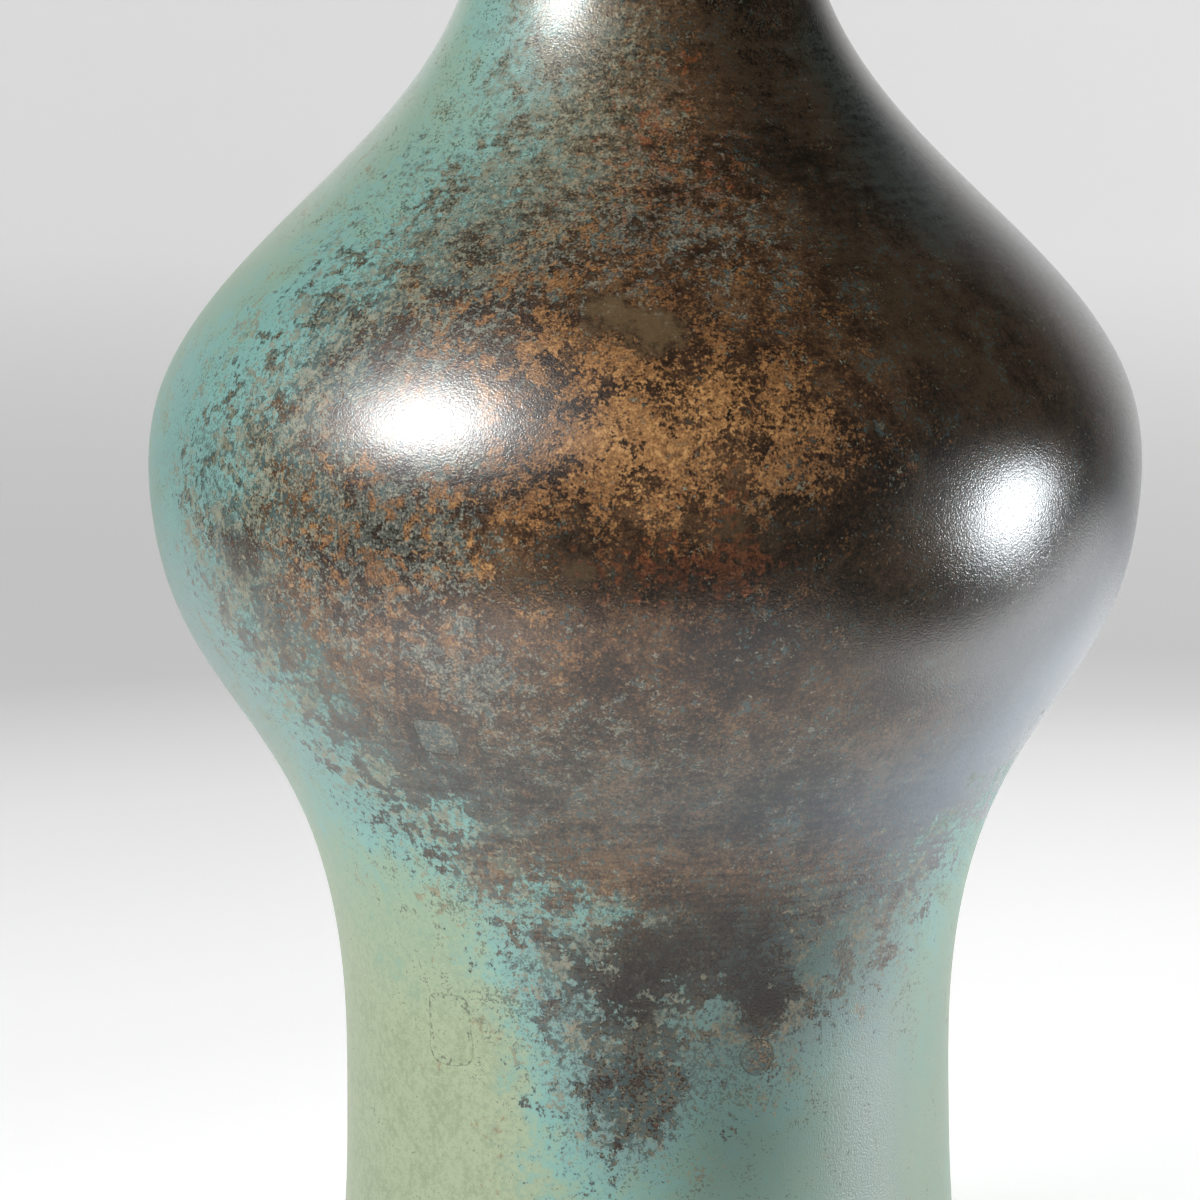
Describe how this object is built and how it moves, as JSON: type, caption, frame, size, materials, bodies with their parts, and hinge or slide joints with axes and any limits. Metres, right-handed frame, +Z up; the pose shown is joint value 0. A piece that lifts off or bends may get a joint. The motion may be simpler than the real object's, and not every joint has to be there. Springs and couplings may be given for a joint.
{
  "type": "copper flower vase",
  "caption": "Cast copper flower vase with a trumpet mouth, narrow neck, round belly and spreading foot, closed by a soldered base plate and finished in a mottled green and brown patina.",
  "frame": {"origin": "centre of the foot ring's standing face", "axes": "+Z up along the vase's axis; -Y is the front seen in the picture, +X its right"},
  "size_m": [0.165, 0.165, 0.3],
  "materials": {
    "patinated_copper": "dark brown patina mottled with green and ochre, waxed, with fine turning marks",
    "turned_plate": "turned brown plate, dull",
    "solder": "dull grey soft solder",
    "chaplet_metal": "grey-green patina, rubbed flush",
    "plug_metal": "olive patina, rubbed flush"
  },
  "bodies": {
    "root": {"vase_body": "patinated_copper", "base_plate": "turned_plate", "base_solder_ring": "solder", "upper_chaplet_1": "chaplet_metal", "upper_chaplet_2": "chaplet_metal", "upper_chaplet_3": "chaplet_metal", "lower_chaplet_1": "chaplet_metal", "lower_chaplet_2": "chaplet_metal", "lower_chaplet_3": "chaplet_metal", "repair_plug": "plug_metal"}
  },
  "joints": []
}
